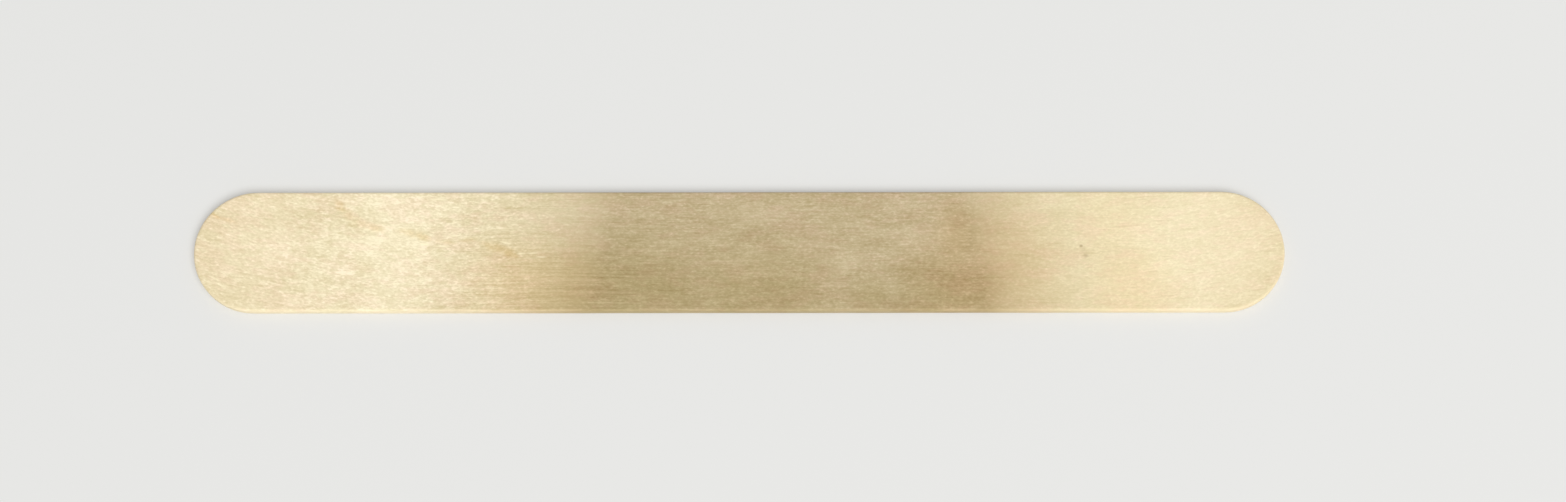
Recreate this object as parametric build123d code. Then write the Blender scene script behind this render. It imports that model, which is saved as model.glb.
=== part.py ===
from build123d import *

import os

# A wooden tongue depressor, in millimetres. It is one flat blade, punched from a single
# sheet of peeled birch veneer, then tumbled until no edge is sharp. Nothing is joined to it.
# X runs along the blade and the grain, Y across the blade, and Z up through the sheet.
# The origin is the middle of the face that the blade lies on.

# Driving dimensions
blade_length = 150.0  # tip to tip
blade_width = 17.0  # side to side, and so the diameter of each round end
veneer_thickness = 1.6  # the sheet, face to face
edge_radius = 0.35  # what tumbling takes off the corner between each face and the side


def punched_outline():
    """The punch's outline: two straight sides, and a half circle at each end."""
    return SlotOverall(blade_length, blade_width)


def punched_blank():
    """The blade as the punch leaves it, square-edged, with its lower face on Z = 0."""
    return extrude(punched_outline(), amount=veneer_thickness)


def rims(blank):
    """The two closed lines, below and above, where a face of the blank meets its side."""
    by_height = blank.faces().sort_by(Axis.Z)
    return by_height[0].edges() + by_height[-1].edges()


def tumbled(blank):
    """The blank with both rims rounded all the way round, along the sides and the ends."""
    return fillet(rims(blank), radius=edge_radius)


os.makedirs("parts", exist_ok=True)
export_step(tumbled(punched_blank()), "parts/blade.step")
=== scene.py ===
"""A birch tongue depressor lying flat on a pale table.

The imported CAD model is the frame. One Blender piece, the blade, stands for its one node:
Geometry Nodes build its skin, and a procedural birch finish dresses it. Lengths are metres in
the frame and the mesh, and millimetres inside the finish.
"""

import logging
import math
from dataclasses import dataclass
from enum import Enum
from typing import Any, ClassVar, Dict, Iterable, Mapping, NamedTuple, Optional, Tuple, Union

import bpy
import numpy as np
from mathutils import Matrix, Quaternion, Vector

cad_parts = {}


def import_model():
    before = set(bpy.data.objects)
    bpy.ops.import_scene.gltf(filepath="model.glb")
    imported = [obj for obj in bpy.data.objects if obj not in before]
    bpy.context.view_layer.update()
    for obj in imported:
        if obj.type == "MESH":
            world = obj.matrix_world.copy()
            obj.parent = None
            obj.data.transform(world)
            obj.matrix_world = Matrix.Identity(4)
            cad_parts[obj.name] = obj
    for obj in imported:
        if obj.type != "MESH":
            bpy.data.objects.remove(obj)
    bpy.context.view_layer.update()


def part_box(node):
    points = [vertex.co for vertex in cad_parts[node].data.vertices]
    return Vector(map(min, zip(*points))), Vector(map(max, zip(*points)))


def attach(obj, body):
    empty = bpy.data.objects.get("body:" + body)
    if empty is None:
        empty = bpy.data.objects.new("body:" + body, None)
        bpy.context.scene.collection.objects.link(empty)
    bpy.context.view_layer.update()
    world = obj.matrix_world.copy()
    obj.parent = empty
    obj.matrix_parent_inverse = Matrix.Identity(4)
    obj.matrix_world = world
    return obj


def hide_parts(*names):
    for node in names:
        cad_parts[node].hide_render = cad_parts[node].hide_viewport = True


log = logging.getLogger("tongue_depressor")

MM = 0.001
BODY = "root"
NODE = "blade"
RIM_ATTRIBUTE = "rim"
BAKE_MAP = "OFBake"

# points nearer than this, in metres, become one, and a share this near to 0 or 1 counts as it
WELD = 1e-6
TINY = 1e-3

# noise is asked for off the borders of its cells, and its values lie to either side of a middle
OFF_CELL = 0.43
NOISE_MIDDLE = 0.5

# a lamp's light is summed over this many strips each way
LAMP_STRIPS = 24

Colour = Tuple[float, float, float]
Point = Tuple[float, float, float]
Span = Tuple[float, float]
Number = Union["Term", float]
Socket = bpy.types.NodeSocket


class SocketKind(Enum):
    """The kinds of input that the blade's node tree has."""

    GEOMETRY = "NodeSocketGeometry"
    LENGTH = "NodeSocketFloat"
    COUNT = "NodeSocketInt"
    FINISH = "NodeSocketMaterial"


def linear(red: int, green: int, blue: int) -> Colour:
    """Turn a screen colour into the linear values that a node takes.

    Args:
        red, green, blue: the colour as a screen shows it, from 0 to 255.

    Returns:
        The three linear values, from 0 to 1.
    """

    def one(level: int) -> float:
        """Turn one level, by the curve that screens follow."""
        share = level / 255
        return share / 12.92 if share <= 0.04045 else ((share + 0.055) / 1.055) ** 2.4

    return one(red), one(green), one(blue)


class Term:
    """A number socket that Python arithmetic can be written on."""

    def __init__(self, graph: "Graph", socket: Socket) -> None:
        """Keep the graph and the output socket that carries the number."""
        self.graph = graph
        self.socket = socket

    def maths(self, operation: str, *values: Number, clamp: bool = False) -> "Term":
        """Add one Math node.

        Args:
            operation: the Math node's operation.
            values: its inputs, in order.
            clamp: whether the result is held between 0 and 1.

        Returns:
            The node's result.
        """
        settings = {"operation": operation, "use_clamp": clamp}
        node = self.graph.node("ShaderNodeMath", settings, dict(enumerate(values)))
        return Term(self.graph, node.outputs[0])

    def __add__(self, other: Number) -> "Term":
        """Add."""
        return self.maths("ADD", self, other)

    def __radd__(self, other: float) -> "Term":
        """Add to a plain number."""
        return self.maths("ADD", other, self)

    def __sub__(self, other: Number) -> "Term":
        """Subtract."""
        return self.maths("SUBTRACT", self, other)

    def __rsub__(self, other: float) -> "Term":
        """Subtract from a plain number."""
        return self.maths("SUBTRACT", other, self)

    def __mul__(self, other: Number) -> "Term":
        """Multiply."""
        return self.maths("MULTIPLY", self, other)

    def __rmul__(self, other: float) -> "Term":
        """Multiply a plain number."""
        return self.maths("MULTIPLY", other, self)

    def __truediv__(self, other: Number) -> "Term":
        """Divide."""
        return self.maths("DIVIDE", self, other)

    def __neg__(self) -> "Term":
        """Change the sign."""
        return self.maths("MULTIPLY", self, -1.0)

    def at_most(self, other: Number) -> "Term":
        """Return the lesser of the two."""
        return self.maths("MINIMUM", self, other)

    def at_least(self, other: Number) -> "Term":
        """Return the greater of the two."""
        return self.maths("MAXIMUM", self, other)

    def size(self) -> "Term":
        """Return the number without its sign."""
        return self.maths("ABSOLUTE", self)

    def root(self) -> "Term":
        """Return the square root."""
        return self.maths("SQRT", self)

    def sine(self) -> "Term":
        """Return the sine of an angle in radians."""
        return self.maths("SINE", self)

    def cosine(self) -> "Term":
        """Return the cosine of an angle in radians."""
        return self.maths("COSINE", self)

    def arcsine(self) -> "Term":
        """Return the angle, in radians, whose sine this is."""
        return self.maths("ARCSINE", self)

    def step(self, start: float, end: float) -> "Term":
        """Rise smoothly from 0 to 1.

        Args:
            start: the value at and before which the result is 0.
            end: the value at and past which the result is 1. It may lie below start.

        Returns:
            The smooth step.
        """
        low, high = min(start, end), max(start, end)
        sockets = {"Value": self, "From Min": low, "From Max": high}
        settings = {"interpolation_type": "SMOOTHSTEP"}
        node = self.graph.node("ShaderNodeMapRange", settings, sockets)
        risen = Term(self.graph, node.outputs[0])
        return risen if end > start else 1.0 - risen

    def ramp(self, start: float, end: float) -> "Term":
        """Rise evenly from 0 at start to 1 at end, which may lie below start."""
        return self.maths("DIVIDE", self - start, end - start, clamp=True)


class Graph:
    """A node tree, and the one way in which this script adds nodes to it."""

    def __init__(self, tree: bpy.types.NodeTree) -> None:
        """Keep the tree, emptied of what Blender put there."""
        self.tree = tree
        tree.nodes.clear()

    def node(
        self,
        kind: str,
        settings: Optional[Mapping[str, Any]] = None,
        sockets: Optional[Mapping[Union[str, int], Any]] = None,
    ) -> bpy.types.Node:
        """Add a node, set it up and feed its inputs.

        Args:
            kind: the node's type.
            settings: its properties, set before its sockets are.
            sockets: values or links, by the input's identifier, name or number. A list feeds
                an input that takes several links.

        Returns:
            The node.
        """
        made = self.tree.nodes.new(kind)
        for name, value in (settings or {}).items():
            setattr(made, name, value)
        for key, value in (sockets or {}).items():
            self.feed(self.entry(made, key), value)
        return made

    @staticmethod
    def entry(node: bpy.types.Node, key: Union[str, int]) -> Socket:
        """Find one of a node's inputs.

        Args:
            node: the node.
            key: the input's number, identifier or name.

        Returns:
            The input socket.
        """
        if isinstance(key, int):
            return node.inputs[key]
        known = {socket.identifier: socket for socket in node.inputs}
        return known.get(key) or node.inputs[key]

    def feed(self, entry: Socket, value: Any) -> None:
        """Link a socket or a term, or each of a list of them, or set a plain value.

        Args:
            entry: the input socket.
            value: what goes into it.
        """
        if isinstance(value, list):
            for one in value:
                self.feed(entry, one)
        elif isinstance(value, Term):
            self.tree.links.new(value.socket, entry)
        elif isinstance(value, Socket):
            self.tree.links.new(value, entry)
        else:
            entry.default_value = value

    def entrance(self, kinds: Mapping[str, SocketKind]) -> Dict[str, Term]:
        """Give the tree its named inputs.

        Args:
            kinds: the kind of each input, by its name.

        Returns:
            What comes in, by the input's name.
        """
        for name, kind in kinds.items():
            self.tree.interface.new_socket(name, in_out="INPUT", socket_type=kind.value)
        made = self.node("NodeGroupInput")
        return {name: Term(self, made.outputs[name]) for name in kinds}

    def exit(self, geometry: Socket) -> None:
        """Send a geometry out of the tree.

        Args:
            geometry: the finished geometry's socket.
        """
        kind = SocketKind.GEOMETRY.value
        self.tree.interface.new_socket("Geometry", in_out="OUTPUT", socket_type=kind)
        self.node("NodeGroupOutput", sockets={0: geometry})

    def vector(self, x: Number, y: Number, z: Number) -> Socket:
        """Join three numbers into a vector."""
        return self.node("ShaderNodeCombineXYZ", sockets={0: x, 1: y, 2: z}).outputs[0]

    def parts(self, vector: Socket) -> Tuple[Term, Term, Term]:
        """Part a vector into three numbers."""
        x, y, z = self.node("ShaderNodeSeparateXYZ", sockets={0: vector}).outputs[:3]
        return Term(self, x), Term(self, y), Term(self, z)

    def attribute(self, name: str) -> Term:
        """Read a number that the mesh stores at its points under that name."""
        settings = {"attribute_type": "GEOMETRY", "attribute_name": name}
        return Term(self, self.node("ShaderNodeAttribute", settings).outputs["Fac"])

    def scaled(self, vector: Socket, share: Number) -> Socket:
        """Multiply a vector by a number."""
        sockets = {0: vector, "Scale": share}
        return self.node("ShaderNodeVectorMath", {"operation": "SCALE"}, sockets).outputs[0]

    def mixed(self, share: Number, first: Any, second: Any, blend: str = "MIX") -> Socket:
        """Mix two colours.

        Args:
            share: how much of the second is taken, from 0 to 1.
            first, second: colours or colour sockets.
            blend: the Mix node's blend type.

        Returns:
            The mixed colour's socket.
        """
        settings = {"data_type": "RGBA", "blend_type": blend, "clamp_factor": True}
        colours = {
            key: (*value, 1.0) if isinstance(value, tuple) else value
            for key, value in (("A_Color", first), ("B_Color", second))
        }
        node = self.node("ShaderNodeMix", settings, {"Factor_Float": share, **colours})
        return next(out for out in node.outputs if out.identifier == "Result_Color")


class Place(NamedTuple):
    """The place that a node tree works on, in millimetres.

    Attributes:
        x, y, z: the place.
        across: how far across the fibres it lies, which is the same all along a fibre.
    """

    x: Term
    y: Term
    z: Term
    across: Term


@dataclass(frozen=True)
class Grain:
    """A field of noise, drawn out along the wood's fibres.

    Attributes:
        length, width, depth: the size of one feature along X, Y and Z, in millimetres.
        detail: how many finer octaves ride on it.
        roughness: how strong each finer octave is.
        seed: which of the endless fields of this kind it is.
        turn: how far the noise's own cells are turned, in degrees, so that their rows don't show.
    """

    length: float
    width: float
    depth: float
    detail: float = 0.0
    roughness: float = 0.5
    seed: float = 0.0
    turn: float = 31.0

    def draw(self, graph: Graph, place: Place, seed: Optional[Term] = None) -> Term:
        """Add the noise to a graph.

        Args:
            graph: the tree that it goes into.
            place: where it is asked for.
            seed: the tree's own seed, if it has one, in place of the grain's.

        Returns:
            The noise, from 0 to 1 and about 0.5 on the whole.
        """
        cosine, sine = math.cos(math.radians(self.turn)), math.sin(math.radians(self.turn))
        along, up = place.x / self.length, place.across / self.width
        spot = graph.vector(
            along * cosine + up * sine,
            up * cosine - along * sine,
            place.z / self.depth + OFF_CELL,
        )
        sockets = {
            "Vector": spot,
            "W": (self.seed if seed is None else seed) + OFF_CELL,
            "Scale": 1.0,
            "Detail": self.detail,
            "Roughness": self.roughness,
        }
        node = graph.node("ShaderNodeTexNoise", {"noise_dimensions": "4D"}, sockets)
        return Term(graph, node.outputs[0])

    def swing(self, graph: Graph, place: Place) -> Term:
        """Add the noise to a graph, moved down so that it lies about 0."""
        return self.draw(graph, place) - NOISE_MIDDLE


@dataclass(frozen=True)
class Patches:
    """Soft patches that a field of noise makes in the wood.

    Attributes:
        grain: the noise.
        span: the values of the noise at which a patch starts and is full.
    """

    grain: Grain
    span: Span

    def draw(self, graph: Graph, place: Place, seed: Optional[Term] = None) -> Term:
        """Add the patches to a graph, as 0 between them and 1 in them."""
        return self.grain.draw(graph, place, seed).step(*self.span)


@dataclass(frozen=True)
class FibreFlow:
    """How the fibres run: along the blade, but bending away towards its ends.

    Attributes:
        straight: where along X the straight stretch starts and ends, in millimetres.
        lean: how fast the fibres bend away past it, per millimetre.
        wander: how far they stray to either side, in millimetres.
        waves: the slow noise that leads them astray.
    """

    straight: Span = (-34.0, 46.0)
    lean: float = 0.0024
    wander: float = 1.1
    waves: Grain = Grain(26.0, 9.0, 9.0, detail=1.0, seed=2.0)

    def find(self, graph: Graph, position: Socket) -> Place:
        """Work out where a position lies on the blade and among its fibres.

        Args:
            graph: the tree that asks.
            position: the position in the frame, in metres.

        Returns:
            The place.
        """
        x, y, z = graph.parts(graph.scaled(position, 1 / MM))
        start, end = self.straight
        past = x - x.at_least(start).at_most(end)
        stray = self.waves.swing(graph, Place(x, y, z, y))
        return Place(x, y, z, y - self.lean * past * past + self.wander * stray)


@dataclass(frozen=True)
class Mark:
    """A mark in the wood: an ellipse that fades out to a ragged rim.

    Attributes:
        FADE: how far from its middle, in half axes, any mark starts and is full.
        x, y: its middle, in millimetres.
        half_length, half_width: its two half axes, in millimetres.
        turn: how far its length turns from X towards Y, in degrees.
        strength: how much of its colour shows at its middle.
    """

    FADE: ClassVar[Span] = (1.2, 0.1)

    x: float
    y: float
    half_length: float
    half_width: float
    turn: float
    strength: float

    def mask(self, place: Place, ragged: Term) -> Term:
        """Draw the mark.

        Args:
            place: where it is asked for.
            ragged: what is added to the distance from the middle, to break up the rim.

        Returns:
            Its strength at each place, which falls to 0 at its rim.
        """
        turn = math.radians(self.turn)
        cosine, sine = math.cos(turn), math.sin(turn)
        east, north = place.x - self.x, place.y - self.y
        along = (east * cosine + north * sine) / self.half_length
        across = (north * cosine - east * sine) / self.half_width
        away = (along * along + across * across).root() + ragged
        return away.step(*self.FADE) * self.strength


def strongest(masks: Iterable[Term]) -> Term:
    """Combine masks.

    Args:
        masks: one or more masks.

    Returns:
        The strongest of them at each place.
    """
    first, *others = masks
    for other in others:
        first = first.at_least(other)
    return first


def all_marks(marks: Iterable[Mark], place: Place, ragged: Term) -> Term:
    """Draw several marks, and take the strongest at each place."""
    return strongest(mark.mask(place, ragged) for mark in marks)


# the marks and zones of this blade, given as middle, half axes, turn and strength
PITH_FLECKS = (
    Mark(-55.0, 6.3, 1.5, 0.8, -55.0, 0.75),
    Mark(-53.9, 5.1, 1.7, 0.9, -50.0, 0.42),
    Mark(-52.3, 3.9, 2.0, 1.0, -20.0, 0.42),
    Mark(-50.1, 3.3, 1.5, 0.8, -8.0, 0.55),
    Mark(-45.4, 2.6, 1.9, 0.7, -12.0, 0.6),
    Mark(-43.7, 2.1, 1.7, 0.75, -24.0, 0.7),
    Mark(-40.2, 1.3, 1.8, 0.4, -4.0, 0.4),
    Mark(-37.2, 1.6, 2.0, 0.4, 8.0, 0.4),
    Mark(-34.6, 0.9, 1.4, 0.6, -14.0, 0.6),
    Mark(-33.4, 0.5, 2.4, 0.9, -12.0, 0.6),
    Mark(-31.7, -0.2, 1.5, 0.8, -35.0, 0.75),
    Mark(-30.8, -0.6, 0.7, 0.5, -60.0, 0.6),
    Mark(-51.6, -2.4, 1.5, 0.9, -20.0, 0.14),
    Mark(-72.3, 5.1, 1.1, 0.4, -28.0, 1.0),
    Mark(-70.6, 4.5, 1.8, 0.35, -16.0, 0.5),
)
SILK_STREAKS = (
    Mark(-43.2, 1.0, 0.9, 0.2, -3.0, 1.0),
    Mark(-40.9, 0.7, 1.3, 0.16, -2.0, 0.8),
    Mark(-39.2, 2.2, 1.1, 0.18, 4.0, 0.8),
    Mark(-32.2, 1.2, 1.0, 0.18, -12.0, 0.6),
    Mark(-30.0, -0.35, 0.7, 0.2, 2.0, 0.5),
    Mark(-28.4, -0.3, 1.0, 0.16, 3.0, 0.5),
    Mark(-27.2, -0.85, 0.8, 0.16, -2.0, 0.45),
    Mark(-28.6, -1.0, 1.4, 0.12, 0.0, 0.3),
    Mark(-41.8, 7.4, 1.5, 0.22, 0.0, 0.6),
    Mark(-71.8, -3.9, 1.0, 0.18, -26.0, 0.45),
    Mark(-70.8, -4.9, 1.1, 0.16, -24.0, 0.35),
)
PIN_MARKS = (
    Mark(47.0, 0.66, 0.32, 0.25, 0.0, 0.6),
    Mark(47.35, 0.0, 0.9, 0.4, -70.0, 0.12),
    Mark(47.6, -0.75, 0.5, 0.36, -10.0, 0.36),
    Mark(8.6, -0.2, 0.24, 0.18, 0.0, 0.25),
    Mark(9.0, -2.3, 0.32, 0.2, 30.0, 0.35),
    Mark(4.5, -3.6, 0.3, 0.18, 10.0, 0.25),
    Mark(-12.3, 3.0, 0.26, 0.2, -20.0, 0.28),
)
# painted reflection: paler patches that stand for a white haze reflected at both ends and near X =
# 14 mm
PAINTED_HAZE_ZONES = (
    Mark(-66.0, 0.5, 12.0, 6.0, 0.0, 0.7),
    Mark(-49.0, 1.0, 14.0, 12.0, 0.0, 1.0),
    Mark(-48.0, 0.5, 7.5, 16.0, 0.0, 1.9),
    Mark(60.0, 1.0, 15.0, 13.0, 0.0, 1.1),
    Mark(14.3, -1.5, 5.5, 2.2, 60.0, 1.3),
)
# painted shadow: the darkest parts of the shadow painted across the middle, mostly on the near half
PAINTED_SHADE_CORES = (
    Mark(-14.5, -6.5, 17.0, 12.0, 0.0, 1.0),
    Mark(-17.0, 8.5, 6.0, 3.4, 0.0, 0.4),
    Mark(2.0, -6.5, 18.0, 11.0, 0.0, 0.9),
    Mark(-0.5, -4.5, 5.0, 3.0, 0.0, 1.0),
    Mark(18.0, -6.8, 5.2, 4.6, 0.0, 0.8),
    Mark(26.0, -9.0, 12.0, 9.0, 25.0, 0.85),
    Mark(31.0, 2.3, 3.0, 4.5, 0.0, 0.25),
    Mark(42.0, -8.0, 9.0, 5.0, 0.0, 0.18),
)
# painted shadow: the warm, brownish edges of the shadow painted across the middle
PAINTED_SHADE_FRINGES = (
    Mark(-28.5, -4.5, 11.5, 8.5, 0.0, 1.0),
    Mark(-24.0, -4.5, 7.5, 8.0, 0.0, 0.9),
    Mark(-31.8, -0.4, 3.2, 1.8, -20.0, 0.75),
    Mark(34.5, -3.0, 13.5, 14.0, 0.0, 1.0),
    Mark(53.5, -5.0, 8.0, 8.0, 0.0, 0.7),
    Mark(30.0, 1.5, 5.0, 9.0, 0.0, 1.0),
    Mark(51.0, 2.5, 7.5, 8.5, 0.0, 0.4),
)


class Wood(NamedTuple):
    """What the wood is like at a place.

    Attributes:
        place: the place.
        out: how far it lies from the blade's middle along X, to either side.
        rim: 0 on the two faces and 1 on the side.
        painted_shade: the painted shadow across the middle of the blade, 0 outside it and 1 in it.
        figured, combed, crisp: how far the wood is curly, drawn out into long threads, or sharp
            in its fibres, each from 0 to 1.
        pale: how strong the painted haze is, paler patches that paint a reflected white haze.
        fibres, flecks, clouds, tides: noises about 0, from the finest to the widest.
        mottle: the patches of the silky figure, from 0 to 1.
        shine: the short bright fibres, from 0 to 1.
    """

    place: Place
    out: Term
    rim: Term
    painted_shade: Term
    figured: Term
    combed: Term
    crisp: Term
    pale: Term
    fibres: Term
    flecks: Term
    clouds: Term
    tides: Term
    mottle: Term
    shine: Term


@dataclass(frozen=True)
class Strength:
    """How strongly a trait shows in each kind of wood.

    Attributes:
        plain: its strength in plain wood.
        figured, combed, crisp: what each of these kinds adds to it.
        side: what the side adds to all of it, as a share.
    """

    plain: float
    figured: float = 0.0
    combed: float = 0.0
    crisp: float = 0.0
    side: float = 0.0

    def at(self, wood: Wood) -> Number:
        """Work out the strength.

        Args:
            wood: what the wood is like.

        Returns:
            The strength in that wood.
        """
        kinds = ((self.figured, wood.figured), (self.combed, wood.combed), (self.crisp, wood.crisp))
        strength: Number = self.plain
        for added, kind in kinds:
            if added:
                strength = strength + added * kind
        return strength * (1.0 + self.side * wood.rim) if self.side else strength


@dataclass(frozen=True)
class WoodZones:
    """Where the kinds of wood lie on the blade.

    A span says where a kind starts and where it is full, in millimetres along X unless its line
    says otherwise.

    Attributes:
        figured: the curly wood at the left.
        calm, calmed: where its figure fades towards the tip, and how much of it does.
        shade_left, shade_right: the painted shadow, from its left and from its right edge.
        shade_lean: how far each of these edges leans along X for each millimetre of Y.
        shade_drift: how far the clouds move them, in millimetres.
        crisp: the sharp fibres, by the share of painted shadow.
        comb_left, comb_right: the combed wood, from its left and from its right border.
        comb_near, comb_far: its near part, by Y, and how much of it there is beyond.
        ends: the rosier wood at both ends, to either side.
        tips: the deeper wood at both tips, to either side.
        cut: the wood that the punch cut across its fibres, to either side.
        upper: the upper face, by Z.
    """

    figured: Span = (-18.0, -40.0)
    calm: Span = (-54.0, -68.0)
    calmed: float = 0.4
    # painted shadow: a darker band painted across the middle of the blade, between these two ramps
    shade_left: Span = (-46.0, -18.0)
    shade_right: Span = (55.5, 32.0)
    shade_lean: Tuple[float, float] = (0.25, -0.18)
    shade_drift: float = 1.7
    crisp: Span = (0.8, 1.0)
    comb_left: Span = (-42.0, -34.0)
    comb_right: Span = (-10.0, -22.0)
    comb_near: Span = (1.0, -3.0)
    comb_far: float = 0.45
    ends: Span = (57.0, 67.0)
    tips: Span = (67.0, 76.0)
    cut: Span = (66.5, 73.5)
    upper: Span = (0.4, 1.2)

    def painted_shade_at(self, place: Place, clouds: Term) -> Term:
        """Work out how far the painted shadow across the middle covers the wood.

        Args:
            place: where it is asked for.
            clouds: the noise that the borders follow.

        Returns:
            0 outside the painted shadow and 1 in it.
        """
        strayed = place.x + clouds * self.shade_drift
        left, right = (strayed - lean * place.y for lean in self.shade_lean)
        share = left.ramp(*self.shade_left).at_most(right.ramp(*self.shade_right))
        return share * share

    def figure_at(self, place: Place) -> Term:
        """Work out how curly the wood is, from 0 to 1."""
        return place.x.step(*self.figured) * (1.0 - self.calmed * place.x.step(*self.calm))

    def combing_at(self, place: Place) -> Term:
        """Work out how far the wood is drawn out into threads, from 0 to 1."""
        near = self.comb_far + (1.0 - self.comb_far) * place.y.step(*self.comb_near)
        return place.x.step(*self.comb_left) * place.x.step(*self.comb_right) * near


@dataclass(frozen=True)
class WoodTones:
    """How much paler, or below 0 how much deeper, each trait makes the wood.

    Attributes:
        flecks, shine, mottle, fibres, clouds, threads, tides, pale, dashes, tips: the traits; pale
        is the painted haze.
        fleck_lift: how much more a strong fleck shows than a faint one.
        mottle_level: how much mottle leaves the tone as it is.
        side: what the side adds.
        rings: what the growth rings add on the side.
    """

    flecks: Strength = Strength(0.71, figured=0.58, crisp=0.57, side=-0.55)
    shine: Strength = Strength(0.07, figured=0.29, side=-0.55)
    mottle: Strength = Strength(0.0, figured=0.16, crisp=0.15, side=-0.55)
    fibres: Strength = Strength(0.12, figured=0.21, crisp=0.64, side=0.5)
    clouds: Strength = Strength(0.26, crisp=0.34)
    threads: Strength = Strength(0.12, combed=0.72, crisp=0.1)
    tides: Strength = Strength(0.26)
    # painted reflection: how much paler the painted haze makes the wood
    pale: Strength = Strength(0.13)
    dashes: Strength = Strength(-0.14)
    tips: Strength = Strength(-0.1)
    fleck_lift: float = 1.5
    mottle_level: float = 0.6
    side: float = 0.16
    rings: float = 0.4


@dataclass(frozen=True)
class BirchFinish:
    """Peeled birch veneer, bare and tumbled smooth.

    Attributes:
        deep, pale: the ends of the range through which the wood's tone moves.
        tone: where in that range the plain wood lies, from 0 to 1.
        zones: where the kinds of wood lie.
        tones: how each trait changes the tone.
        rosy, leafy: the two tinges between which the wood's hue strays.
        rosy_ends: how much rosier both ends are.
        leafy_haze: how much leafier the painted haze makes the figured wood.
        satin: what the figured wood turns the colour by.
            painted_shade, shade_core, shade_fringe: what the painted shadow, its darkest part and
                its warm edge turn it by.
        shade_rags: how ragged the rims of the painted shadow's parts and edges are, in half axes.
        tan: what a pith fleck turns the colour by.
        silk, bark: the colours of a bright streak and of a pin mark.
        pith_rags, silk_rags, pin_rags: how ragged the rims of these marks are, in half axes.
        pith_crossed: how much of a pith fleck the bright fibres cover.
        cut, cut_share: what the cut across the fibres turns the colour by, and how far.
        shine_floor: how much of the bright fibres shows where there is no mottle.
        roughness: the roughness of the plain wood.
        fibre_roughness, shine_gloss: how much rougher fibres and how much smoother bright
            fibres make it.
        bump: how deep the finest fibres go, in millimetres.
        fleck_height: how high the flecks stand, as a share of the fibres.
        ior, specular: how the bare wood reflects.
        flow: how the fibres run.
        fibres, threads, flecks, dashes: fine fibres, long threads, short flecks, dark dashes.
        glints, mottle: short bright fibres, and the silky figure that brings them out.
        blush: the patches of rosier hue.
        clouds, tides: soft clouds, and the widest and slowest changes.
        rags: what breaks up the rims of the small marks.
        rings: the growth rings, which show as layers in the side.
    """

    deep: Colour = linear(204, 186, 138)
    pale: Colour = linear(255, 242, 209)
    tone: float = 0.52
    zones: WoodZones = WoodZones()
    tones: WoodTones = WoodTones()
    rosy: Colour = (1.015, 0.973, 0.979)
    leafy: Colour = (0.987, 0.999, 0.963)
    rosy_ends: float = 0.3
    leafy_haze: float = 0.12
    satin: Colour = (1.0, 1.0, 1.024)
    painted_shade: Colour = (0.64, 0.595, 0.55)
    shade_core: Colour = (0.82, 0.8, 0.67)
    shade_fringe: Colour = (0.975, 0.907, 0.83)
    shade_rags: float = 0.35
    tan: Colour = (0.9, 0.815, 0.65)
    silk: Colour = linear(255, 244, 207)
    bark: Colour = linear(146, 118, 74)
    pith_rags: float = 1.1
    silk_rags: float = 0.55
    pin_rags: float = 0.33
    pith_crossed: float = 0.6
    cut: Colour = (0.95, 0.91, 0.84)
    cut_share: float = 0.2
    shine_floor: float = 0.2
    roughness: float = 0.62
    fibre_roughness: float = 0.3
    shine_gloss: float = 0.08
    bump: float = 0.004
    fleck_height: float = 0.4
    ior: float = 1.5
    specular: float = 0.35
    flow: FibreFlow = FibreFlow()
    fibres: Grain = Grain(3.6, 0.18, 0.35, detail=2.0, seed=11.0)
    threads: Grain = Grain(13.0, 0.2, 0.3, detail=1.0, seed=20.0)
    flecks: Grain = Grain(0.48, 0.24, 0.3, detail=1.0, roughness=0.7, seed=12.0)
    glints: Patches = Patches(Grain(1.0, 0.3, 0.4, detail=1.0, seed=18.0), (0.5, 0.72))
    dashes: Patches = Patches(Grain(2.4, 0.16, 0.3, detail=1.0, seed=13.0), (0.44, 0.26))
    mottle: Patches = Patches(
        Grain(3.8, 1.7, 1.6, detail=3.0, roughness=0.65, seed=17.0), (0.4, 0.62)
    )
    blush: Patches = Patches(
        Grain(5.5, 2.2, 2.5, detail=3.0, roughness=0.85, seed=22.0), (0.42, 0.66)
    )
    clouds: Grain = Grain(9.0, 3.4, 3.0, detail=2.0, roughness=0.45, seed=14.0)
    tides: Grain = Grain(46.0, 8.0, 6.0, detail=1.0, seed=15.0)
    rags: Grain = Grain(0.9, 0.4, 0.6, detail=2.0, seed=16.0)
    rings: Grain = Grain(60.0, 9.0, 0.16, detail=1.0, seed=21.0)

    def material(self) -> bpy.types.Material:
        """Make the finish.

        Returns:
            The material.
        """
        made = bpy.data.materials.new("birch")
        made.use_nodes = True
        graph = Graph(made.node_tree)
        wood = self.look(graph)
        colour = self.marked(graph, wood, self.dyed(graph, wood))
        cut = wood.rim * wood.out.step(*self.zones.cut) * self.cut_share
        colour = graph.mixed(cut, colour, self.cut, "MULTIPLY")
        height = wood.fibres + wood.flecks * self.fleck_height
        bump = graph.node(
            "ShaderNodeBump",
            sockets={"Strength": 1.0, "Distance": self.bump * MM, "Height": height},
        )
        rough = self.roughness + wood.fibres * self.fibre_roughness
        shader = graph.node(
            "ShaderNodeBsdfPrincipled",
            sockets={
                "Base Color": colour,
                "Roughness": rough - wood.shine * self.shine_gloss,
                "Normal": bump.outputs[0],
                "IOR": self.ior,
                "Specular IOR Level": self.specular,
            },
        )
        graph.node("ShaderNodeOutputMaterial", sockets={"Surface": shader.outputs[0]})
        return made

    def look(self, graph: Graph) -> Wood:
        """Work out what the wood is like all over the blade.

        Args:
            graph: the material's tree.

        Returns:
            The wood.
        """
        place = self.flow.find(graph, graph.node("ShaderNodeTexCoord").outputs["Object"])
        clouds = self.clouds.swing(graph, place)
        tides = self.tides.swing(graph, place)
        mottle = self.mottle.draw(graph, place)
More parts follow.
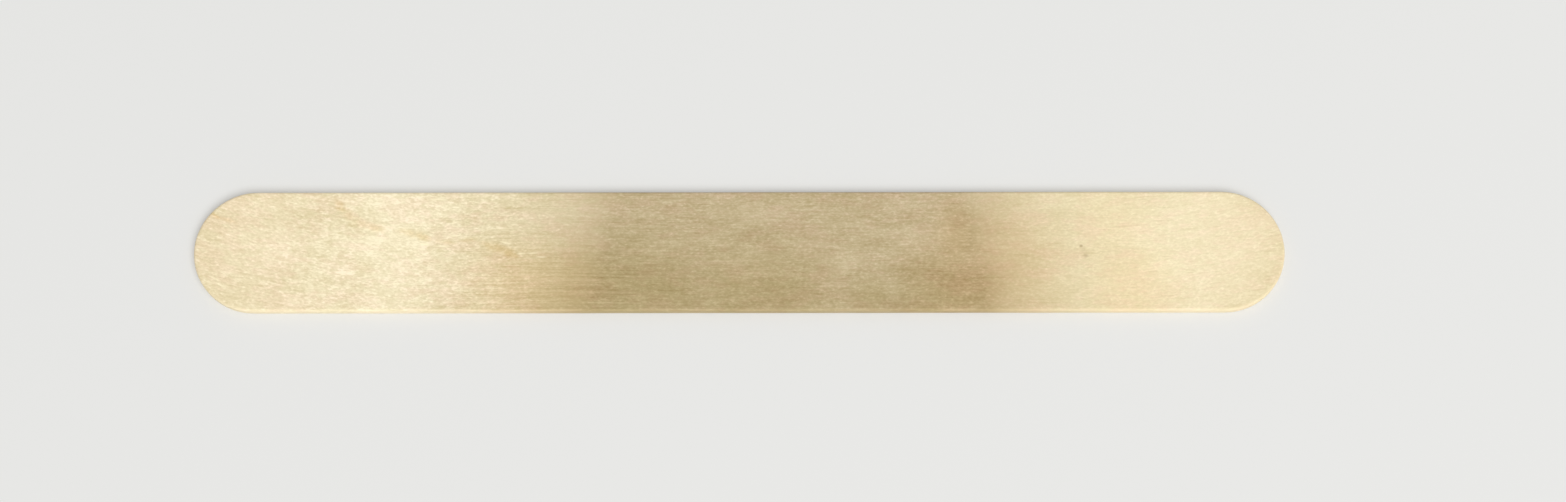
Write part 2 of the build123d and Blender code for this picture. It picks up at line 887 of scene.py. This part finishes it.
        # painted shadow across the middle of the blade
        painted_shade = self.zones.painted_shade_at(place, clouds)
        bright = mottle * (1.0 - self.shine_floor) + self.shine_floor
        return Wood(
            place=place,
            out=place.x.size(),
            rim=graph.attribute(RIM_ATTRIBUTE),
            painted_shade=painted_shade,
            figured=self.zones.figure_at(place),
            combed=self.zones.combing_at(place),
            crisp=painted_shade.step(*self.zones.crisp),
            # painted reflection: the haze zones
            pale=all_marks(PAINTED_HAZE_ZONES, place, tides),
            fibres=self.fibres.swing(graph, place),
            flecks=self.flecks.swing(graph, place),
            clouds=clouds,
            tides=tides,
            mottle=mottle,
            shine=self.glints.draw(graph, place) * bright,
        )

    def tone_of(self, graph: Graph, wood: Wood) -> Term:
        """Work out how pale the wood is.

        Args:
            graph: the material's tree.
            wood: what the wood is like.

        Returns:
            Its tone, which is 0 for the deep colour and 1 for the pale one.
        """
        tones, place = self.tones, wood.place
        traits = (
            (wood.flecks + wood.flecks * wood.flecks * tones.fleck_lift, tones.flecks),
            (wood.shine, tones.shine),
            (wood.mottle - tones.mottle_level, tones.mottle),
            (wood.fibres, tones.fibres),
            (wood.clouds, tones.clouds),
            (self.threads.swing(graph, place), tones.threads),
            (wood.tides, tones.tides),
            # painted reflection: the haze zones make the wood paler
            (wood.pale, tones.pale),
            (self.dashes.draw(graph, place), tones.dashes),
            (wood.out.step(*self.zones.tips), tones.tips),
        )
        tone: Number = self.tone
        for trait, strength in traits:
            tone = tone + trait * strength.at(wood)
        side = tones.side + self.rings.swing(graph, place) * tones.rings
        return tone + wood.rim * wood.rim * side

    def dyed(self, graph: Graph, wood: Wood) -> Socket:
        """Work out the wood's colour without its small marks.

        Args:
            graph: the material's tree.
            wood: what the wood is like.

        Returns:
            The colour.
        """
        # the painted haze also turns the figured wood leafier
        hue = self.blush.draw(graph, wood.place) - wood.pale * wood.figured * self.leafy_haze
        hue = hue + wood.out.step(*self.zones.ends) * self.rosy_ends
        ragged = wood.clouds * self.shade_rags
        dyes = (
            (1.0, graph.mixed(hue, self.leafy, self.rosy)),
            (wood.figured, self.satin),
            # painted shadow: the band across the middle, its darkest cores and its warm edges
            # darken the colour
            (wood.painted_shade, self.painted_shade),
            (all_marks(PAINTED_SHADE_CORES, wood.place, ragged), self.shade_core),
            (all_marks(PAINTED_SHADE_FRINGES, wood.place, ragged), self.shade_fringe),
        )
        colour = graph.mixed(self.tone_of(graph, wood), self.deep, self.pale)
        for share, dye in dyes:
            colour = graph.mixed(share, colour, dye, "MULTIPLY")
        return colour

    def marked(self, graph: Graph, wood: Wood, colour: Socket) -> Socket:
        """Add the pith flecks, bright streaks and pin marks of the upper face.

        Args:
            graph: the material's tree.
            wood: what the wood is like.
            colour: its colour so far.

        Returns:
            The colour with the marks in it.
        """
        place, ragged = wood.place, self.rags.swing(graph, wood.place)
        upper = place.z.step(*self.zones.upper)
        pith = all_marks(PITH_FLECKS, place, ragged * self.pith_rags) * upper
        pith = pith * (1.0 - wood.shine * self.pith_crossed)
        streaks = all_marks(SILK_STREAKS, place, ragged * self.silk_rags) * upper
        pins = all_marks(PIN_MARKS, place, ragged * self.pin_rags) * upper
        colour = graph.mixed(pith, colour, self.tan, "MULTIPLY")
        colour = graph.mixed(streaks, colour, self.silk)
        return graph.mixed(pins, colour, self.bark)


@dataclass
class Blade:
    """The one piece: a flat blade with round ends and a rounded rim.

    Attributes:
        length, width, thickness: its overall sizes.
        edge_radius: the rounding between each face and the side.
        columns, rows: how many cells each face has, along and across.
        edge_steps: how many steps the rounding takes.
        relief: how far the soft wood between the fibres lies in, at most.
        seed: which field of soft patches it has.
        flow: how the fibres run.
        hollows: the patches of soft wood, which lie in a little between the fibres.
        map_scale: how much of the bake map a millimetre of skin takes.
        map_gap: the gap between the strips on that map, in millimetres of skin.
        name: what the piece is called.
        INPUTS: the kind of each input of the skin's node tree, by its name.
    """

    length: float
    width: float
    thickness: float
    edge_radius: float = 0.35 * MM
    columns: int = 400
    rows: int = 96
    edge_steps: int = 5
    relief: float = 0.012 * MM
    seed: int = 7
    flow: FibreFlow = FibreFlow()
    hollows: Patches = Patches(Grain(9.0, 0.8, 0.8, detail=1.0), (0.62, 0.38))
    map_scale: float = 0.0121
    map_gap: float = 0.45
    name: str = "birch_blade"

    INPUTS: ClassVar[Dict[str, SocketKind]] = {
        "Length": SocketKind.LENGTH,
        "Width": SocketKind.LENGTH,
        "Thickness": SocketKind.LENGTH,
        "Edge Radius": SocketKind.LENGTH,
        "Relief": SocketKind.LENGTH,
        "Columns": SocketKind.COUNT,
        "Rows": SocketKind.COUNT,
        "Edge Steps": SocketKind.COUNT,
        "Seed": SocketKind.COUNT,
        "Finish": SocketKind.FINISH,
    }

    def upper_half(self, graph: Graph, sizes: Mapping[str, Term]) -> Socket:
        """Shape the upper face, its rounding and the side down to half its height.

        A grid is laid over the outline. Its inner cells fill the flat face, and its outermost
        rings of points are pushed out and down round the edge.

        Args:
            graph: the blade's tree.
            sizes: the tree's inputs.

        Returns:
            The half skin, whose corners still hold points that lie on each other.
        """
        radius, thickness = sizes["Edge Radius"], sizes["Thickness"]
        columns, rows, steps = sizes["Columns"], sizes["Rows"], sizes["Edge Steps"]
        rings = steps + 1.0
        wide, high = columns + 2.0 * rings, rows + 2.0 * rings
        counts = {"Vertices X": wide + 1.0, "Vertices Y": high + 1.0}
        grid = graph.node("GeometryNodeMeshGrid", sockets={"Size X": 1.0, "Size Y": 1.0, **counts})
        east, north, _ = graph.parts(graph.node("GeometryNodeInputPosition").outputs[0])
        column, row = (east + 0.5) * wide - rings, (north + 0.5) * high - rings
        inner_column = column.at_least(0.0).at_most(columns)
        inner_row = row.at_least(0.0).at_most(rows)
        ring = (column - inner_column).size().at_least((row - inner_row).size())

        # rows lie half by even height and half by even angle, so the ends stay round
        rise = 2.0 * inner_row / rows - 1.0
        angle = 0.5 * rise.arcsine() + 0.25 * math.pi * rise
        half_width = 0.5 * sizes["Width"] - radius
        straight = 0.5 * (sizes["Length"] - sizes["Width"])
        x = (2.0 * inner_column / columns - 1.0) * (straight + half_width * angle.cosine())
        y = half_width * angle.sine()
        out_x = x - x.at_least(-straight).at_most(straight)
        reach = (out_x * out_x + y * y).root().at_least(WELD)

        turn = 0.5 * math.pi * (ring / steps).at_most(1.0)
        out = radius * turn.sine()
        drop = radius * (1.0 - turn.cosine())
        drop = drop + (0.5 * thickness - radius) * (ring - steps).at_least(0.0)
        marked = graph.node(
            "GeometryNodeStoreNamedAttribute",
            {"data_type": "FLOAT", "domain": "POINT"},
            {"Geometry": grid.outputs[0], "Name": RIM_ATTRIBUTE, "Value": turn.sine()},
        )
        position = graph.vector(x + out * out_x / reach, y + out * y / reach, thickness - drop)
        sockets = {"Geometry": marked.outputs[0], "Position": position}
        return graph.node("GeometryNodeSetPosition", sockets=sockets).outputs[0]

    def tree(self) -> bpy.types.NodeTree:
        """Make the Geometry Nodes tree of the whole skin.

        Returns:
            The tree, with the inputs that INPUTS names.
        """
        graph = Graph(bpy.data.node_groups.new("blade_skin", "GeometryNodeTree"))
        sizes = graph.entrance(self.INPUTS)
        upper = self.upper_half(graph, sizes)
        mirror = {
            "Geometry": upper,
            "Translation": graph.vector(0.0, 0.0, sizes["Thickness"]),
            "Scale": (1.0, 1.0, -1.0),
        }
        mirrored = graph.node("GeometryNodeTransform", sockets=mirror).outputs[0]
        lower = graph.node("GeometryNodeFlipFaces", sockets={"Mesh": mirrored}).outputs[0]
        both = graph.node("GeometryNodeJoinGeometry", sockets={"Geometry": [upper, lower]})
        sockets = {"Geometry": both.outputs[0], "Distance": WELD}
        welded = graph.node("GeometryNodeMergeByDistance", sockets=sockets).outputs[0]

        position = graph.node("GeometryNodeInputPosition").outputs[0]
        place = self.flow.find(graph, position)
        soft = self.hollows.draw(graph, place, sizes["Seed"])
        normal = graph.node("GeometryNodeInputNormal").outputs[0]
        inward = graph.scaled(normal, -(soft * sizes["Relief"]))
        sockets = {"Geometry": welded, "Offset": inward}
        carved = graph.node("GeometryNodeSetPosition", sockets=sockets).outputs[0]
        smooth = graph.node("GeometryNodeSetShadeSmooth", sockets={"Geometry": carved})
        real = graph.node("GeometryNodeRealizeInstances", sockets={0: smooth.outputs[0]})
        dressed = {"Geometry": real.outputs[0], "Material": sizes["Finish"]}
        graph.exit(graph.node("GeometryNodeSetMaterial", sockets=dressed).outputs[0])
        return graph.tree

    def skin(self, finish: bpy.types.Material) -> bpy.types.Object:
        """Run the tree and keep its result as a plain mesh.

        Args:
            finish: the material that the tree sets.

        Returns:
            The piece, at the origin, with no modifier.
        """
        tree = self.tree()
        piece = bpy.data.objects.new(self.name, bpy.data.meshes.new(self.name))
        bpy.context.scene.collection.objects.link(piece)
        modifier = piece.modifiers.new("skin", "NODES")
        modifier.node_group = tree

        # each input but the finish is named for the field that it takes
        for item in tree.interface.items_tree:
            if item.name in self.INPUTS:
                field = item.name.lower().replace(" ", "_")
                modifier[item.identifier] = getattr(self, field, finish)
        evaluated = piece.evaluated_get(bpy.context.evaluated_depsgraph_get())
        mesh = bpy.data.meshes.new_from_object(evaluated)
        piece.modifiers.remove(modifier)
        piece.data = mesh
        mesh.name = self.name
        return piece

    def lay_out(self, mesh: bpy.types.Mesh) -> None:
        """Lay the skin out flat on the map that the material is baked on.

        Both faces and both straight sides are cut in two at X = 0. These eight halves lie one
        above the other, and the two round ends of the band round the edge share a ninth strip.

        Args:
            mesh: the finished skin.
        """
        radius, thickness = self.edge_radius / MM, self.thickness / MM
        straight = 0.5 * (self.length - self.width) / MM
        cap_radius = 0.5 * self.width / MM
        bend = 0.5 * math.pi * radius
        band = 2.0 * bend + thickness - 2.0 * radius

        points = np.empty(len(mesh.vertices) * 3, np.float32)
        mesh.vertices.foreach_get("co", points)
        x, y, z = points.reshape(-1, 3).T.astype(float) / MM
        turned = np.empty(len(mesh.vertices), np.float32)
        mesh.attributes[RIM_ATTRIBUTE].data.foreach_get("value", turned)
        turned = np.clip(turned.astype(float), 0.0, 1.0)
        corners = np.empty(len(mesh.loops), np.int32)
        mesh.loops.foreach_get("vertex_index", corners)

        # every polygon of the skin has four corners
        middle = [axis[corners].reshape(-1, 4).mean(1) for axis in (x, y, z, turned)]
        middle_x, middle_y, middle_z, middle_turned = (np.repeat(axis, 4) for axis in middle)
        x, y, z, turned = (axis[corners] for axis in (x, y, z, turned))
        flat = middle_turned < TINY
        upper, right, far = middle_z > thickness / 2, middle_x > 0.0, middle_y > 0.0
        cap = ~flat & (abs(middle_x) > straight)

        rounded = radius * np.arcsin(turned)
        depth = np.clip(thickness / 2 - abs(z - thickness / 2) - radius, 0.0, None)
        side = np.where(turned > 1.0 - TINY, depth, 0.0)
        down = np.where(z > thickness / 2, rounded + side, band - rounded - side)
        round_end = cap_radius * np.arctan2(y, abs(x) - straight)
        along = np.where(flat, abs(x), np.where(cap, cap_radius * math.pi / 2 + round_end, abs(x)))
        height = np.where(flat, y + cap_radius, down)

        # strips 0 to 3 are the halves of the faces, 4 to 7 those of the sides, and 8 is the ends
        strip = np.where(flat, upper * 2 + right, 4 + far * 2 + right)
        strip = np.where(cap, 8, strip)
        widths = np.array([2.0 * cap_radius] * 4 + [band] * 5)
        floors = np.concatenate([[0.0], np.cumsum(widths + self.map_gap)[:-1]])
        along = along + np.where(cap & right, cap_radius * math.pi + self.map_gap, 0.0)
        spots = np.stack([along, height + floors[strip]], axis=1) + self.map_gap
        layer = mesh.uv_layers.new(name=BAKE_MAP)
        layer.data.foreach_set("uv", (spots * self.map_scale).astype(np.float32).ravel())

    def build(self, finish: bpy.types.Material) -> bpy.types.Object:
        """Build the piece and tie it to the frame.

        Args:
            finish: its material.

        Returns:
            The finished piece.
        """
        piece = self.skin(finish)
        self.lay_out(piece.data)
        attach(piece, BODY)
        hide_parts(NODE)
        return piece


@dataclass(frozen=True)
class SoftBox:
    """A rectangular studio lamp.

    Attributes:
        name: what it is called.
        place: where it hangs.
        aim: the point that it faces.
        width, length: its size, the first along X.
        spread: the full angle of the cone that it lights, in degrees.
        level: its share of the plain light level on a card held at its aim, facing it.
    """

    name: str
    place: Point
    aim: Point
    width: float
    length: float
    spread: float
    level: float

    def watts(self) -> float:
        """Work out the power that gives the lamp its level on a plain white card.

        Returns:
            The power.
        """
        steps = (np.arange(LAMP_STRIPS) + 0.5) / LAMP_STRIPS - 0.5
        off = np.hypot(*np.meshgrid(steps * self.width, steps * self.length))
        away, half = math.dist(self.place, self.aim), math.radians(self.spread) / 2
        fall = np.clip(1.0 - off / away / math.tan(half), 0.0, None)
        fall = fall / (1.0 - half / math.tan(half))
        reach = fall * away**2 / (away**2 + off**2) ** 2
        return self.level * math.pi**2 / float(reach.mean())

    def hang(self) -> bpy.types.Object:
        """Put up the lamp.

        Returns:
            The lamp.
        """
        lamp = bpy.data.lights.new(self.name, "AREA")
        lamp.shape = "RECTANGLE"
        lamp.size, lamp.size_y = self.width, self.length
        lamp.spread = math.radians(self.spread)
        lamp.energy = self.watts()
        ray = Vector(self.aim) - Vector(self.place)
        made = bpy.data.objects.new(self.name, lamp)
        made.location = self.place
        made.rotation_mode = "QUATERNION"
        made.rotation_quaternion = ray.to_track_quat("-Z", "Y")
        made.visible_camera = False
        bpy.context.scene.collection.objects.link(made)
        return made


@dataclass
class Studio:
    """The table, the lamps and the surroundings.

    Attributes:
        table_side: the side of the square table.
        table_colour: its colour.
        table_glow: the share of its look that is its own colour, whatever light reaches it.
        around: the colour of what surrounds it, as the camera sees it.
        ambient: the light from all round, as a share of the plain level.
        boxes: the lamps.
    """

    table_side: float = 6.0
    table_colour: Colour = linear(228, 228, 226)
    table_glow: float = 0.3
    around: Colour = linear(236, 236, 235)
    ambient: float = 0.475
    boxes: Tuple[SoftBox, ...] = (
        SoftBox("key_box", (0.6, -1.15, 1.91), (0.0, 0.0, 0.0), 1.7, 1.4, 170.0, 0.695),
    )

    def table(self) -> bpy.types.Object:
        """Lay the table under the blade.

        Returns:
            The table top.
        """
        half = self.table_side / 2
        corners = [(-half, -half, 0.0), (half, -half, 0.0), (half, half, 0.0), (-half, half, 0.0)]
        mesh = bpy.data.meshes.new("table")
        mesh.from_pydata(corners, [], [(0, 1, 2, 3)])
        mesh.materials.append(self.table_finish())
        made = bpy.data.objects.new("table", mesh)
        bpy.context.scene.collection.objects.link(made)
        return made

    def table_finish(self) -> bpy.types.Material:
        """Make the table's plain pale finish.

        Returns:
            The material.
        """
        made = bpy.data.materials.new("table")
        made.use_nodes = True
        graph = Graph(made.node_tree)
        colour = (*self.table_colour, 1.0)
        lit = graph.node("ShaderNodeBsdfDiffuse", sockets={"Color": colour}).outputs[0]
        glow = graph.node("ShaderNodeEmission", sockets={"Color": colour}).outputs[0]
        share = self.seen(graph) * self.table_glow
        mixed = graph.node("ShaderNodeMixShader", sockets={0: share, 1: lit, 2: glow})
        graph.node("ShaderNodeOutputMaterial", sockets={"Surface": mixed.outputs[0]})
        return made

    @staticmethod
    def seen(graph: Graph) -> Term:
        """Tell apart what is seen, straight or in a reflection, from what only sheds light.

        Args:
            graph: the tree that asks.

        Returns:
            1 for a ray that brings a picture, 0 for one that brings light.
        """
        path = graph.node("ShaderNodeLightPath").outputs
        names = ("Is Camera Ray", "Is Glossy Ray", "Is Transmission Ray")
        return strongest(Term(graph, path[name]) for name in names)

    def surroundings(self) -> None:
        """Light the scene from all round, and show a pale backdrop behind the table."""
        world = bpy.data.worlds.new("surroundings")
        world.use_nodes = True
        bpy.context.scene.world = world
        graph = Graph(world.node_tree)
        colours = graph.mixed(self.seen(graph), (self.ambient,) * 3, self.around)
        lit = graph.node("ShaderNodeBackground", sockets={"Color": colours, "Strength": 1.0})
        graph.node("ShaderNodeOutputWorld", sockets={"Surface": lit.outputs[0]})

    def build(self) -> None:
        """Put up everything but the camera."""
        self.table()
        self.surroundings()
        for box in self.boxes:
            box.hang()
        bpy.context.scene.view_settings.view_transform = "Standard"


@dataclass(frozen=True)
class Viewpoint:
    """Where the camera stands, as worked out from the blade's outline.

    Attributes:
        distance: from the middle of the picture, on the table, to the lens.
        elevation: the angle above the table, in degrees.
        roll: how far the camera is rolled, in degrees.
        picture: the photograph's width and height, in pixels.
        scale: pixels to a millimetre at the blade.
        origin: the pixel at which the middle of the blade's lower face lies.
        sensor: the sensor's width, in millimetres.
        depth: how many times nearer and farther than the picture's middle it still sees.
    """

    distance: float = 0.4
    elevation: float = 74.5
    roll: float = -0.06
    picture: Tuple[int, int] = (1566, 502)
    scale: float = 7.247
    origin: Tuple[float, float] = (739.5, 253.9)
    sensor: float = 36.0
    depth: float = 100.0

    def target(self) -> Vector:
        """Find the point of the table that lies in the middle of the picture.

        Returns:
            The point, in the frame.
        """
        right = self.picture[0] / 2 - self.origin[0]
        up = self.origin[1] - self.picture[1] / 2
        lie = math.sin(math.radians(self.elevation))
        return Vector((right, up / lie, 0.0)) / self.scale * MM

    def place(self) -> bpy.types.Object:
        """Set up the camera and make it the scene's.

        Returns:
            The camera.
        """
        up = math.radians(self.elevation)
        back = Vector((0.0, -math.cos(up), math.sin(up)))
        lens = bpy.data.cameras.new("camera")
        lens.sensor_width = self.sensor
        lens.lens = self.sensor * self.scale * self.distance / MM / self.picture[0]
        lens.clip_start = self.distance / self.depth
        lens.clip_end = self.distance * self.depth
        made = bpy.data.objects.new("camera", lens)
        made.location = self.target() + back * self.distance
        made.rotation_mode = "QUATERNION"
        roll = Quaternion((0.0, 0.0, 1.0), math.radians(self.roll))
        made.rotation_quaternion = (-back).to_track_quat("-Z", "Y") @ roll
        bpy.context.scene.collection.objects.link(made)
        bpy.context.scene.camera = made
        return made


def main() -> None:
    """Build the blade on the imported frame, and the studio round it."""
    logging.basicConfig(level=logging.INFO, format="%(name)s: %(message)s")
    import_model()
    lowest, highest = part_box(NODE)
    blade = Blade(*(highest - lowest))
    piece = blade.build(BirchFinish().material())
    log.info("%s: %d faces, on body %s", piece.name, len(piece.data.polygons), BODY)
    studio = Studio()
    studio.build()
    log.info("studio: a table of %.0f m, lamps: %d", studio.table_side, len(studio.boxes))
    camera = Viewpoint().place()
    log.info("camera: %.1f mm lens at %s", camera.data.lens, tuple(camera.location))


if __name__ == "__main__":
    main()
